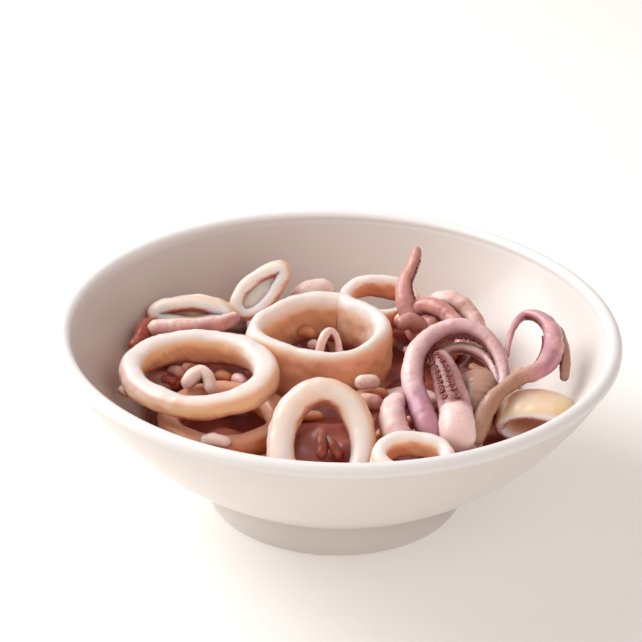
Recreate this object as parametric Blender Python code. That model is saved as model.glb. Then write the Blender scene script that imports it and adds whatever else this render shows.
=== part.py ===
"""Raw squid, cut into rings and arms, heaped in a round white bowl.

The bowl's foot stands on z = 0 and its axis is the z axis. +y is the far side of the bowl.
Lengths are in millimetres here, and to_metres() turns them into Blender's metres.
"""

import math

import bmesh
import bpy
from mathutils import Matrix, Vector

# ---------------------------------------------------------------- driving dimensions, in mm
BOWL_RADIUS = 85.0
BOWL_HEIGHT = 58.0
BOWL_WALL = 4.0
LIP_RADIUS = 2.4
INSIDE_FLOOR = 6.0  # height of the lowest point inside the bowl
FOOT_RADIUS = 40.0
FOOT_WIDTH = 5.0
FOOT_RECESS = 1.6  # how far the underside is lifted off the table inside the foot
BOWL_STEPS = 48

RING_STEPS = 24  # points round a ring
SECTION_STEPS = 8  # points round the section of a ring's wall
SECTION_POWER = 2.6  # 2 is an ellipse, and a larger number is squarer
ARM_SPACING = 5.2  # between the sections along an arm

BOWL_GAP = 0.6  # between the bowl and the squid that lies against it
BED_HEIGHT = 31.0
BED_RELIEF = 1.2
BED_STEPS = 28
# Where the bed's top rises into a ring's hole or dips under a piece: x, y, radius and rise.
BED_SWELLS = (
    (-34.0, -17.5, 23.0, -5.6),
    (-34.0, -17.5, 8.0, 4.0),
    (-6.0, 20.0, 26.0, -8.0),
    (-6.0, 21.0, 11.0, 6.5),
    (-4.0, -50.0, 16.0, -13.0),
    (33.0, -36.0, 13.0, -3.4),
    (56.0, -26.0, 10.0, -3.0),
    (30.0, 35.0, 12.0, -2.6),
)

# The inside of the bowl is part of a sphere, which passes through the lip and the floor.
INSIDE_RIM_RADIUS = BOWL_RADIUS - 2 * LIP_RADIUS
INSIDE_RIM_HEIGHT = BOWL_HEIGHT - LIP_RADIUS
INSIDE_DEPTH = INSIDE_RIM_HEIGHT - INSIDE_FLOOR
SPHERE_RADIUS = (INSIDE_RIM_RADIUS**2 + INSIDE_DEPTH**2) / (2 * INSIDE_DEPTH)
SPHERE_HEIGHT = INSIDE_FLOOR + SPHERE_RADIUS

# ---------------------------------------------------------------- the pieces, in mm and degrees
# A ring's centre, its half widths across and along, the wall's thickness and the band's height.
# turn, lean and spin place it: spin turns the oval in its own plane, lean lifts its far edge, and
# turn swings it about the vertical. lobes are (number, size, angle) waves in its outline.
RINGS = {
    "ring_left": dict(
        centre=(-41.2, -8.7, 42.2), half=(24.0, 24.2), wall=7.6, band=8.6,
        lobes=((3, 0.02, 40), (2, 0.015, 120)),
    ),
    "ring_centre": dict(
        centre=(-5.6, 21.0, 37.4), half=(22.8, 20.8), wall=6.4, band=19.0, lean=5,
        lobes=((4, 0.035, 12), (3, 0.025, 75)),
    ),
    "ring_front": dict(
        centre=(-4.4, -39.3, 38.4), half=(15.8, 18.8), wall=7.6, band=10.0, lean=46,
        lobes=((3, 0.02, 90),),
    ),
    "ring_under": dict(
        centre=(-33.5, -18.0, 32.8), half=(20.0, 19.5), wall=7.0, band=8.2,
    ),
    "ring_back_left": dict(
        centre=(-46.5, 34.4, 41.8), half=(14.0, 6.1), wall=4.4, band=9.0, lean=65,
    ),
    "ring_fold": dict(
        centre=(-25.6, 46.0, 44.6), half=(12.0, 6.6), wall=4.0, band=8.0, lean=62, spin=45,
        lobes=((3, 0.08, 0),),
    ),
    "ring_back_right": dict(
        centre=(13.5, 51.5, 39.0), half=(13.5, 10.0), wall=4.5, band=9.0, lean=20,
    ),
    "ring_right": dict(
        centre=(59.2, -24.0, 40.2), half=(12.2, 7.4), wall=4.8, band=12.5, turn=-12, lean=102,
        spin=6,
    ),
    "ring_low": dict(
        centre=(21.2, -53.0, 41.4), half=(12.0, 9.0), wall=4.6, band=9.0, lean=14,
    ),
}

# An arm is a list of (x, y, z, radius) that its middle line passes through, thick end first.
# A crown is a group of arms that grow from one web, an ellipsoid of the given centre and radii.
CROWNS = {
    "crown_front": dict(
        web=((33.0, -36.0, 36.5), (9.0, 8.0, 6.0)),
        arms=dict(
            arch=(
                (31.0, -38.0, 37.0, 4.4), (26.4, -33.6, 42.0, 4.0), (23.2, -24.0, 45.5, 3.7),
                (22.0, -16.0, 49.0, 3.5), (24.0, -7.6, 53.0, 3.4), (29.7, -0.6, 55.0, 3.2),
                (36.6, 1.2, 56.0, 3.1), (43.2, -1.0, 55.0, 2.8), (47.3, -5.9, 52.0, 2.5),
                (49.2, -12.8, 48.0, 2.2), (48.5, -18.4, 45.5, 1.6),
            ),
            column=(
                (35.0, -40.0, 37.0, 5.0), (34.3, -38.5, 43.0, 5.4), (34.0, -30.0, 46.0, 4.9),
                (32.8, -21.6, 47.8, 4.5), (31.0, -13.0, 50.2, 3.9), (29.2, -6.5, 51.2, 3.2),
            ),
            inner=(
                (29.0, -7.0, 48.5, 2.2), (32.9, -2.0, 50.0, 1.8), (38.3, -1.2, 50.5, 1.9),
                (44.1, -4.8, 49.5, 2.0), (47.0, -10.4, 47.5, 2.0), (48.0, -16.0, 44.5, 1.6),
            ),
            lobe=(
                (36.5, -34.0, 36.5, 5.0), (40.0, -24.0, 39.4, 5.2), (42.5, -13.5, 41.4, 6.2),
                (43.6, -5.0, 42.2, 5.6),
            ),
            left=(
                (25.0, -38.0, 36.0, 5.0), (18.4, -37.5, 39.0, 4.6), (16.2, -33.0, 42.3, 4.3),
                (16.4, -27.1, 43.6, 3.9), (18.8, -21.0, 44.0, 3.0),
            ),
            loop=(
                (36.0, -38.0, 39.0, 4.6), (39.5, -35.4, 41.5, 3.6), (43.0, -28.3, 44.5, 2.8),
                (47.0, -23.3, 47.8, 2.3), (53.6, -18.9, 50.6, 2.3), (59.6, -15.6, 51.8, 2.8),
                (63.8, -7.0, 53.0, 3.4), (64.2, 2.2, 55.0, 3.0), (61.5, 9.4, 56.0, 2.2),
                (56.9, 12.5, 55.0, 1.6), (53.1, 6.2, 54.0, 1.2), (51.2, -1.2, 52.0, 1.0),
                (50.4, -5.8, 50.0, 0.8),
            ),
            side=(
                (62.0, 4.5, 54.0, 1.6), (66.0, 4.0, 54.6, 1.8), (67.3, -2.3, 53.0, 1.8),
                (67.6, -7.5, 50.8, 1.8), (67.3, -12.0, 49.2, 1.6), (66.6, -15.6, 48.2, 1.2),
            ),
        ),
    ),
    "crown_back": dict(
        web=((30.0, 35.0, 37.0), (8.0, 8.0, 6.0)),
        arms=dict(
            upright=(
                (26.0, 36.0, 38.0, 4.2), (22.0, 41.0, 44.0, 3.4), (20.8, 46.7, 48.0, 2.6),
                (22.3, 51.7, 51.0, 2.1), (24.3, 56.0, 53.5, 1.8), (25.6, 59.0, 55.4, 1.5),
            ),
            near=(
                (25.0, 38.0, 41.0, 3.0), (28.5, 37.2, 44.8, 3.0), (33.0, 33.4, 45.4, 2.8),
                (37.0, 28.0, 44.0, 2.6), (39.0, 20.5, 42.0, 2.2), (37.0, 14.0, 40.0, 1.5),
            ),
            far=(
                (30.0, 41.0, 39.0, 3.4), (33.0, 41.0, 44.4, 3.6), (38.0, 38.8, 45.0, 3.6),
                (42.6, 34.4, 43.0, 3.2), (46.0, 27.0, 40.0, 2.2),
            ),
            stub=((28.0, 32.0, 39.0, 3.4), (22.5, 29.5, 43.0, 2.8), (19.2, 26.5, 42.0, 2.0)),
        ),
    ),
}

LOOSE_ARMS = {
    "arm_back_left": (
        (-60.0, 22.5, 42.5, 2.4), (-51.2, 21.8, 43.0, 3.3), (-43.4, 22.6, 43.0, 3.2),
        (-36.0, 25.6, 43.5, 2.6), (-31.0, 29.0, 44.5, 1.8),
    ),
    "arm_back": (
        (-14.5, 46.5, 37.0, 3.4), (-11.5, 51.0, 41.8, 4.4), (-6.0, 54.0, 42.4, 4.4),
        (-2.6, 55.6, 40.6, 3.0),
    ),
    "arm_low_right": (
        (36.4, -53.4, 36.8, 3.0), (37.0, -50.8, 39.4, 3.8), (41.0, -47.6, 39.4, 3.6),
        (45.0, -44.6, 38.0, 2.8),
    ),
    "tip_left": (
        (-45.9, -8.2, 39.3, 1.7), (-44.2, -5.8, 41.0, 2.0), (-41.4, -3.8, 42.4, 2.1),
        (-39.3, -4.8, 41.4, 2.2), (-38.5, -6.9, 38.8, 2.1), (-38.4, -7.2, 37.0, 1.7),
    ),
    "tip_centre": (
        (-6.6, 18.0, 34.0, 1.5), (-4.6, 21.0, 41.4, 1.4), (-2.5, 23.5, 43.0, 1.3),
        (-0.4, 23.2, 41.0, 1.2), (1.0, 21.0, 34.0, 1.2),
    ),
    "bead": ((5.4, -5.4, 39.0, 1.7), (7.2, -4.8, 39.8, 2.4), (10.8, -3.8, 39.8, 2.3),
             (12.8, -3.0, 39.2, 1.6)),
}

# Name, colour and roughness of each kind of surface.
GLAZE = ("white_glaze", (0.86, 0.85, 0.82), 0.12)
MANTLE_FLESH = ("mantle_flesh", (0.86, 0.66, 0.53), 0.32)
ARM_SKIN = ("arm_skin", (0.72, 0.42, 0.38), 0.34)
SHADED_FLESH = ("bed_flesh", (0.66, 0.38, 0.32), 0.4)


def to_metres(*values):
    """A vector in metres from lengths in millimetres."""
    return Vector(values) / 1000


def clear_scene():
    for existing in list(bpy.data.objects):
        bpy.data.objects.remove(existing, do_unlink=True)


def material(name, colour, roughness):
    """The Principled material of that name, made the first time it is asked for."""
    found = bpy.data.materials.get(name)
    if found:
        return found
    made = bpy.data.materials.new(name)
    made.use_nodes = True
    shader = made.node_tree.nodes["Principled BSDF"]
    shader.inputs["Base Color"].default_value = (*colour, 1)
    shader.inputs["Roughness"].default_value = roughness
    shader.inputs["Metallic"].default_value = 0
    return made


def add_object(name, mesh, finish):
    made = bpy.data.objects.new(name, mesh)
    bpy.context.scene.collection.objects.link(made)
    mesh.materials.clear()
    mesh.materials.append(material(*finish))
    mesh.shade_smooth()
    return made


def press_into_bowl(thing):
    """Moves what would lie in the bowl's wall back to just inside it, as soft flesh gives way."""
    centre = to_metres(0, 0, SPHERE_HEIGHT)
    limit = (SPHERE_RADIUS - BOWL_GAP) / 1000
    inverse = thing.matrix_world.inverted()
    for vertex in thing.data.vertices:
        offset = thing.matrix_world @ vertex.co - centre
        if offset.length > limit and offset.z < 0:
            vertex.co = inverse @ (centre + offset * (limit / offset.length))
    return thing


# ---------------------------------------------------------------- bowl and bed
def arc(centre, radius, start, end, steps):
    """Points (r, z) on an arc round centre, from one angle to another, in degrees from +r."""
    turns = [math.radians(start + (end - start) * i / steps) for i in range(steps + 1)]
    return [(centre[0] + radius * math.cos(t), centre[1] + radius * math.sin(t)) for t in turns]


def sphere_angle(radius, distance):
    """Angle below the horizontal, in degrees, of the sphere's point at this distance from its axis."""
    return -math.degrees(math.acos(distance / radius))


def bowl_profile():
    """The bowl's section, from the middle of its underside, out and over the lip, to the inside."""
    outside_radius = SPHERE_RADIUS + BOWL_WALL
    centre = (0.0, SPHERE_HEIGHT)
    foot_inner = FOOT_RADIUS - FOOT_WIDTH
    lip_centre = (BOWL_RADIUS - LIP_RADIUS, BOWL_HEIGHT - LIP_RADIUS)
    under_lip = sphere_angle(outside_radius, lip_centre[0] + LIP_RADIUS * 0.55)
    inside_lip = sphere_angle(SPHERE_RADIUS, INSIDE_RIM_RADIUS)
    foot_chamfer = 1.0
    return [
        (0.0, FOOT_RECESS),
        (foot_inner - FOOT_RECESS, FOOT_RECESS),
        (foot_inner, 0.0),
        (FOOT_RADIUS - foot_chamfer, 0.0),
        (FOOT_RADIUS, foot_chamfer),
        *arc(centre, outside_radius, sphere_angle(outside_radius, FOOT_RADIUS), under_lip, 7),
        *arc(lip_centre, LIP_RADIUS, -20, 175, 6),
        *arc(centre, SPHERE_RADIUS, inside_lip - 1.5, -88, 10),
        (0.0, INSIDE_FLOOR),
    ]


def turned(profile, steps):
    """The solid that a profile sweeps round the z axis. Its first and last points are on the axis."""
    shape = bmesh.new()
    line = [shape.verts.new(to_metres(r, 0, z)) for r, z in profile]
    edges = [shape.edges.new(pair) for pair in zip(line, line[1:])]
    bmesh.ops.spin(
        shape, geom=line + edges, cent=(0, 0, 0), axis=(0, 0, 1), angle=2 * math.pi, steps=steps
    )
    bmesh.ops.remove_doubles(shape, verts=shape.verts, dist=to_metres(0.01, 0, 0).x)
    bmesh.ops.recalc_face_normals(shape, faces=shape.faces)
    mesh = bpy.data.meshes.new("turned")
    shape.to_mesh(mesh)
    shape.free()
    return mesh


def make_bowl():
    mesh = turned(bowl_profile(), BOWL_STEPS)
    mesh.set_sharp_from_angle(angle=math.radians(40))
    return add_object("bowl", mesh, GLAZE)


def bed_top(x, y):
    """Height of the bed's uneven top: waves, with flat-topped swells and dips."""
    height = BED_HEIGHT
    height += BED_RELIEF * (math.sin(x / 6.5) * math.cos(y / 5.5) + 0.5 * math.sin((x + y) / 4.1))
    for swell_x, swell_y, radius, rise in BED_SWELLS:
        spread = ((x - swell_x) ** 2 + (y - swell_y) ** 2) / radius**2
        height += rise * math.exp(-(spread**2))
    return height


def make_bed():
    """The lower layers of squid, which fill the bottom of the bowl up to an uneven top."""
    radius = SPHERE_RADIUS - BOWL_GAP
    reach = math.sqrt(radius**2 - (SPHERE_HEIGHT - BED_HEIGHT) ** 2)
    side = arc((0.0, SPHERE_HEIGHT), radius, -90, sphere_angle(radius, reach), 5)
    top = [(reach * share, BED_HEIGHT) for share in (0.87, 0.74, 0.58, 0.4, 0.2)]
    mesh = turned([(0.0, side[0][1]), *side[1:], *top, (0.0, BED_HEIGHT)], BED_STEPS)
    for vertex in mesh.vertices:
        x, y, z = vertex.co * 1000
        if z > BED_HEIGHT - 0.01:
            vertex.co.z = to_metres(0, 0, bed_top(x, y)).z
    return press_into_bowl(add_object("bed", mesh, SHADED_FLESH))


# ---------------------------------------------------------------- rings
def ring_section(wall, band):
    """Offsets (outwards, upwards) round the rounded oblong section of a ring's wall."""
    points = []
    for i in range(SECTION_STEPS):
        turn = 2 * math.pi * (i + 0.5) / SECTION_STEPS
        c, s = math.cos(turn), math.sin(turn)
        points.append((
            wall / 2 * math.copysign(abs(c) ** (2 / SECTION_POWER), c),
            band / 2 * math.copysign(abs(s) ** (2 / SECTION_POWER), s),
        ))
    return points


def ring_outline(half, wall, lobes):
    """The ring's middle line, as (point, outward normal) pairs, in its own plane."""
    def point(angle):
        swell = 1 + sum(size * math.cos(n * (angle - math.radians(at))) for n, size, at in lobes)
        a, b = half[0] - wall / 2, half[1] - wall / 2
        return Vector((a * swell * math.cos(angle), b * swell * math.sin(angle)))

    pairs = []
    for i in range(RING_STEPS):
        angle = 2 * math.pi * i / RING_STEPS
        along = point(angle + 0.01) - point(angle - 0.01)
        pairs.append((point(angle), Vector((along.y, -along.x)).normalized()))
    return pairs


def squid_ring(name, centre, half, wall, band, turn=0, lean=0, spin=0, lobes=()):
    section = ring_section(wall, band)
    shape = bmesh.new()
    rows = [
        [
            shape.verts.new(to_metres(*(middle + normal * out), up))
            for out, up in section
        ]
        for middle, normal in ring_outline(half, wall, lobes)
    ]
    for row, following in zip(rows, rows[1:] + rows[:1]):
        for i in range(SECTION_STEPS):
            j = (i + 1) % SECTION_STEPS
            shape.faces.new((row[i], following[i], following[j], row[j]))
    bmesh.ops.recalc_face_normals(shape, faces=shape.faces)
    mesh = bpy.data.meshes.new(name)
    shape.to_mesh(mesh)
    shape.free()
    made = add_object(name, mesh, MANTLE_FLESH)
    made.matrix_world = (
        Matrix.Translation(to_metres(*centre))
        @ Matrix.Rotation(math.radians(turn), 4, "Z")
        @ Matrix.Rotation(math.radians(lean), 4, "X")
        @ Matrix.Rotation(math.radians(spin), 4, "Z")
    )
    return press_into_bowl(made)


# ---------------------------------------------------------------- arms
def smooth_line(points):
    """Points at even steps along a Catmull-Rom curve through the given (x, y, z, radius) points."""
    knots = [Vector(p) for p in points]
    knots = [2 * knots[0] - knots[1], *knots, 2 * knots[-1] - knots[-2]]
    line = []
    for before, start, end, after in zip(knots, knots[1:], knots[2:], knots[3:]):
        steps = max(1, round((end - start).length / ARM_SPACING))
        for i in range(steps):
            t = i / steps
            line.append(0.5 * (
                2 * start + (end - before) * t
                + (2 * before - 5 * start + 4 * end - after) * t**2
                + (3 * start - before - 3 * end + after) * t**3
            ))
    return line + [knots[-2]]


def arm_mesh(name, points):
    """A tapering round bar along the points: a poly curve with a bevel, a radius for each point and
    a small rounded end."""
    line = smooth_line(points)
    ahead = (line[-1] - line[-2]).normalized()
    behind = (line[0] - line[1]).normalized()
    tip = line[-1] + ahead * line[-1].w * 0.6
    tip.w = line[-1].w * 0.5
    root = line[0] + behind * line[0].w * 0.5
    root.w = line[0].w * 0.55
    line = [root, *line, tip]
    curve = bpy.data.curves.new(name, "CURVE")
    curve.dimensions = "3D"
    curve.bevel_depth = to_metres(1, 0, 0).x  # each point's radius multiplies it
    curve.bevel_resolution = 2
    curve.use_fill_caps = True
    spline = curve.splines.new("POLY")
    spline.points.add(len(line) - 1)
    for point, place in zip(spline.points, line):
        point.co = (*to_metres(*place.xyz), 1)
        point.radius = place.w
    bar = bpy.data.objects.new(name, curve)
    bpy.context.scene.collection.objects.link(bar)
    bpy.context.view_layer.update()
    mesh = bpy.data.meshes.new_from_object(bar.evaluated_get(bpy.context.evaluated_depsgraph_get()))
    bpy.data.objects.remove(bar, do_unlink=True)
    shape = bmesh.new()
    shape.from_mesh(mesh)
    bmesh.ops.remove_doubles(shape, verts=shape.verts, dist=1e-6)
    bmesh.ops.recalc_face_normals(shape, faces=shape.faces)
    shape.to_mesh(mesh)
    shape.free()
    return mesh


def web_mesh(name, centre, radii):
    """The ellipsoid of muscle from which a crown's arms grow."""
    shape = bmesh.new()
    place = Matrix.Translation(to_metres(*centre)) @ Matrix.Diagonal((*to_metres(*radii), 1))
    bmesh.ops.create_icosphere(shape, subdivisions=2, radius=1, matrix=place)
    mesh = bpy.data.meshes.new(name)
    shape.to_mesh(mesh)
    shape.free()
    return mesh


def make_crown(name, web, arms):
    """One solid: a web with its arms joined to it by Boolean unions."""
    crown = add_object(name, web_mesh(name, *web), ARM_SKIN)
    for arm, points in arms.items():
        limb = add_object(f"{name}_{arm}_cutter", arm_mesh(arm, points), ARM_SKIN)
        limb.hide_render = True
        limb.display_type = "WIRE"
        join = crown.modifiers.new(arm, "BOOLEAN")
        join.operation = "UNION"
        join.solver = "EXACT"
        join.object = limb
    return crown


def make_squid():
    clear_scene()
    make_bowl()
    make_bed()
    for name, sizes in RINGS.items():
        squid_ring(name, **sizes)
    for name, crown in CROWNS.items():
        make_crown(name, **crown)
    for name, points in LOOSE_ARMS.items():
        press_into_bowl(add_object(name, arm_mesh(name, points), ARM_SKIN))


make_squid()
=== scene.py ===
# Raw squid in a white bowl: rings cut from the body and clusters of arms, wet and slippery.
# Lengths are in millimetres until a mesh is made; mm turns them into metres.

import bpy
import numpy as np
from mathutils import Matrix, Vector
from mathutils.kdtree import KDTree


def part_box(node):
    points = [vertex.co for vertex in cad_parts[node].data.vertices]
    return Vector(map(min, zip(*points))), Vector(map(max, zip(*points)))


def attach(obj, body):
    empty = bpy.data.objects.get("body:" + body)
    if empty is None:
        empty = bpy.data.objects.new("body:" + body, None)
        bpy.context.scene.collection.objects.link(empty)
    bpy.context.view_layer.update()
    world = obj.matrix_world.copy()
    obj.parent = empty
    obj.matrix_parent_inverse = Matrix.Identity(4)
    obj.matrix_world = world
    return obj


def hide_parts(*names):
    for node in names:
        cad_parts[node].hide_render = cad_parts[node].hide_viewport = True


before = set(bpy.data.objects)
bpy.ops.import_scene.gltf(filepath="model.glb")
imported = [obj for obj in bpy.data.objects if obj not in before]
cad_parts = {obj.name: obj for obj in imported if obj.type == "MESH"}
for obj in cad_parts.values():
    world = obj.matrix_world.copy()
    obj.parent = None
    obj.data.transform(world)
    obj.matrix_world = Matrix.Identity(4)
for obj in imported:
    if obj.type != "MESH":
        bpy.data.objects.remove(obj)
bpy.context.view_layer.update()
mm = 0.001
print("frame:", len(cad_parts), "nodes")


def boxOf(node):
    # the low and the high corner of a CAD node's box, in mm
    low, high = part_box(node)
    return np.array(low) / mm, np.array(high) / mm


def unit(vectors):
    # each vector divided by its length
    return vectors / np.maximum(np.linalg.norm(vectors, axis=-1, keepdims=True), 1e-9)


def ripple(points, size, seed, waves=18):
    # a sum of plane waves about size long, with random directions and phases: smooth, mostly -1 to 1
    random = np.random.default_rng(seed)
    directions = unit(random.normal(size=(waves, 3)))
    lengths = size * random.uniform(0.7, 1.4, waves)
    phases = random.uniform(0, 2 * np.pi, waves)
    turns = directions * (2 * np.pi / lengths)[:, None]
    return np.cos(points @ turns.T + phases).sum(-1) / (waves / 2) ** 0.5 / 1.6


def surface(grid, closedRows):
    # A grid of points as points, four-cornered faces and fans. Columns always close on themselves; open
    # rows are closed by a fan round the middle of each end. Faces are turned to point outwards.
    rows, columns = grid.shape[:2]
    points = grid.reshape(-1, 3)
    i = np.arange(rows if closedRows else rows - 1)[:, None]
    j = np.arange(columns)[None, :]
    nextRow, nextColumn = (i + 1) % rows, (j + 1) % columns
    corners = [i * columns + j, i * columns + nextColumn,
               nextRow * columns + nextColumn, nextRow * columns + j]
    quads = np.stack([np.broadcast_to(c, (len(i), columns)) for c in corners], -1).reshape(-1, 4)
    fans = np.zeros((0, 3), int)
    if not closedRows:
        points = np.vstack([points, grid[0].mean(0), grid[-1].mean(0)])
        j, end = j[0], rows * columns
        last = end - columns
        fans = np.vstack([np.stack([0 * j + end, (j + 1) % columns, j], -1),
                          np.stack([0 * j + end + 1, last + j, last + (j + 1) % columns], -1)])
    triangles = np.vstack([quads[:, [0, 1, 2]], quads[:, [0, 2, 3]], fans])
    a, b, c = (points[triangles[:, k]] - points.mean(0) for k in range(3))
    if (a * np.cross(b, c)).sum() < 0:
        quads, fans = quads[:, ::-1], fans[:, ::-1]
    return points, quads, fans


placed = {}  # some points of each piece made, in mm


def newPiece(name, grids, finish, node, closedRows=False, fields=None):
    # Makes one mesh of a list of grids. Fields give each grid's points a value that the finish reads.
    shapes = [surface(grid, closedRows) for grid in grids]
    starts = np.cumsum([0] + [len(points) for points, _, _ in shapes])
    points = np.vstack([shape[0] for shape in shapes])
    placed[name] = points[::7]
    quads = np.vstack([shape[1] + start for shape, start in zip(shapes, starts)])
    fans = np.vstack([shape[2] + start for shape, start in zip(shapes, starts)])
    sizes = np.concatenate([np.full(len(quads), 4), np.full(len(fans), 3)])
    mesh = bpy.data.meshes.new(name)
    mesh.vertices.add(len(points))
    mesh.vertices.foreach_set("co", (points * mm).astype(np.float32).ravel())
    mesh.loops.add(sizes.sum())
    mesh.loops.foreach_set("vertex_index", np.concatenate([quads.ravel(), fans.ravel()]).astype(np.int32))
    mesh.polygons.add(len(sizes))
    mesh.polygons.foreach_set("loop_start", (np.cumsum(sizes) - sizes).astype(np.int32))
    mesh.update(calc_edges=True)
    mesh.shade_smooth()
    for key, values in (fields or {}).items():
        # open ends take their end row's mean
        ends = [] if closedRows else [0, -1]
        flat = [np.concatenate([value.ravel()] + [[value[end].mean()] for end in ends]) for value in values]
        field = mesh.attributes.new(key, "FLOAT", "POINT")
        field.data.foreach_set("value", np.concatenate(flat).astype(np.float32))
    mesh.materials.append(finish)
    piece = bpy.data.objects.new(name, mesh)
    bpy.context.scene.collection.objects.link(piece)
    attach(piece, "root")
    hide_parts(node)


# Soft studio light: a large panel on the left and a weaker one in front, with warm pale surroundings.
# Distances and sizes are in metres.
lights = {
    "key": {"from": (-0.78, 0.36, 0.72), "distance": 0.9, "size": 0.75, "watts": 9.2, "colour": "#FFFEFD"},
    "fill": {"from": (0.25, -0.8, 0.6), "distance": 1.2, "size": 1.2, "watts": 3.0, "colour": "#FFF1EA"},
    "world": {"colour": "#F7EAE3", "strength": 0.46},
    "aim": (0, 0, 0.04),  # the point the panels stand round and face
}


def toLinear(code):
    # an sRGB hex colour as linear red, green, blue and full alpha
    channels = [int(code[i:i + 2], 16) / 255 for i in (1, 3, 5)]
    return [c / 12.92 if c <= 0.04045 else ((c + 0.055) / 1.055) ** 2.4 for c in channels] + [1]


def newFinish(name):
    finish = bpy.data.materials.new(name)
    finish.use_nodes = True
    finish.node_tree.nodes.clear()
    return finish, finish.node_tree, finish.node_tree.nodes.new("ShaderNodeOutputMaterial")


def add(tree, kind, settings=None, links=None):
    # Adds one node. Settings are its properties, or values of the inputs with that name or number; links
    # give the node or output that feeds an input.
    node = tree.nodes.new("ShaderNode" + kind)
    for key, value in (settings or {}).items():
        if isinstance(key, str) and hasattr(node, key):
            setattr(node, key, value)
        else:
            node.inputs[key].default_value = value
    for key, source in (links or {}).items():
        if isinstance(source, bpy.types.Node):
            source = next(output for output in source.outputs if output.enabled)
        tree.links.new(source, node.inputs[key])
    return node


# Raw mantle flesh, cut with a knife: milky and slightly see-through; wet, with soft broad highlights.
# The side facing the key is painted creamy white (painted light), and hollows are painted orange and
# crevices and undersides dark red (painted shade).
mantle = {
    "cut": {"open": "#F8EBE8", "wall": "#FBCF9F", "hollow": "#FAC79A", "crevice": "#A43C28",
            "skin": "#F2B8AC", "under": "#AC523C"},
    # amber and shade are the same flesh painted darker, for pieces lying in half shade and in deep shade
    "amber": {"open": "#E0AE92", "wall": "#D8926A", "hollow": "#C27446", "crevice": "#A4402A",
              "skin": "#C88068", "under": "#9A4630"},
    "shade": {"open": "#BC7466", "wall": "#A05242", "hollow": "#943E2E", "crevice": "#8A2E20",
              "skin": "#9A4E48", "under": "#782A20"},
    "cloud": 9.0, "fibre": 1.1, "reach": 13.0,
}


def mantleFinish(name, tint):
    finish, tree, output = newFinish(name)
    place = add(tree, "TexCoord").outputs["Object"]
    cloud = add(tree, "TexNoise", {"Scale": 1 / (mantle["cloud"] * mm), "Detail": 3}, {"Vector": place})
    fibre = add(tree, "TexNoise", {"Scale": 1 / (mantle["fibre"] * mm), "Detail": 4}, {"Vector": place})
    cut = add(tree, "Attribute", {"attribute_name": "cut"}).outputs["Fac"]
    skin = add(tree, "Attribute", {"attribute_name": "skin"}).outputs["Fac"]
    # cut faces are palest, walls more orange, in soft clouds, with a thin pink edge of skin; the side facing
    # the key is painted pale too: painted light
    lit = add(tree, "Attribute", {"attribute_name": "paintedLightAndPale"}).outputs["Fac"]
    drift = add(tree, "MapRange", {"From Min": 0.3, "From Max": 0.7, "To Min": -0.06, "To Max": 0.06},
                {"Value": cloud})
    bright = add(tree, "Math", {"operation": "MAXIMUM"}, {0: cut, 1: lit})
    pale = add(tree, "Math", {"operation": "ADD", "use_clamp": True}, {0: bright, 1: drift})
    body = add(tree, "Mix", {"data_type": "RGBA", 6: toLinear(tint["wall"]), 7: toLinear(tint["open"])},
               {0: pale})
    edged = add(tree, "Mix", {"data_type": "RGBA", 7: toLinear(tint["skin"])}, {0: skin, 6: body})
    # undersides are painted dark red: painted shade
    under = add(tree, "Attribute", {"attribute_name": "under"}).outputs["Fac"]
    undersideShaded = add(tree, "Mix", {"data_type": "RGBA", 7: toLinear(tint["under"])}, {0: under, 6: edged})
    # near other flesh the colour is painted orange in hollows and dark red in crevices: painted shade
    near = add(tree, "AmbientOcclusion", {"Distance": mantle["reach"] * mm, "samples": 8}).outputs["AO"]
    hollow = add(tree, "MapRange", {"From Min": 0.3, "From Max": 0.9, "To Min": 0.9, "To Max": 0.0},
                 {"Value": near})
    shaded = add(tree, "Math", {"operation": "SUBTRACT", 0: 1.0}, {1: pale})
    deepened = add(tree, "Math", {"operation": "MULTIPLY"}, {0: hollow, 1: shaded})
    warm = add(tree, "Mix", {"data_type": "RGBA", 7: toLinear(tint["hollow"])}, {0: deepened, 6: undersideShaded})
    creviceShade = add(tree, "MapRange", {"From Min": 0.05, "From Max": 0.34, "To Min": 1.0, "To Max": 0.0},
                {"Value": near})
    colour = add(tree, "Mix", {"data_type": "RGBA", 7: toLinear(tint["crevice"])}, {0: creviceShade, 6: warm})
    rough = add(tree, "MapRange", {"To Min": 0.28, "To Max": 0.45}, {"Value": cloud})
    relief = add(tree, "Bump", {"Strength": 0.3, "Distance": 0.1 * mm}, {"Height": fibre})
    shader = add(tree, "BsdfPrincipled", {
        "Subsurface Weight": 0.85, "Subsurface Radius": (1.0, 0.58, 0.4), "Subsurface Scale": 7.0 * mm,
        "IOR": 1.38, "Coat Weight": 0.4, "Coat Roughness": 0.15, "Coat IOR": 1.33,
    }, {"Base Color": colour, "Roughness": rough, "Normal": relief})
    tree.links.new(shader.outputs[0], output.inputs["Surface"])
    return finish


# Skin and meat of the arms: thin mauve-pink skin with red-brown pigment spots, over paler meat on the
# side with the suckers; wet. The side facing the key is painted pale (painted light), and crevices dark
# red (painted shade).
arms = {"spotPitch": 1.3, "wrinkle": 0.8, "cloud": 6.0, "reach": 8.0, "tan": "#B2866C", "dusk": "#B98098"}


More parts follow.
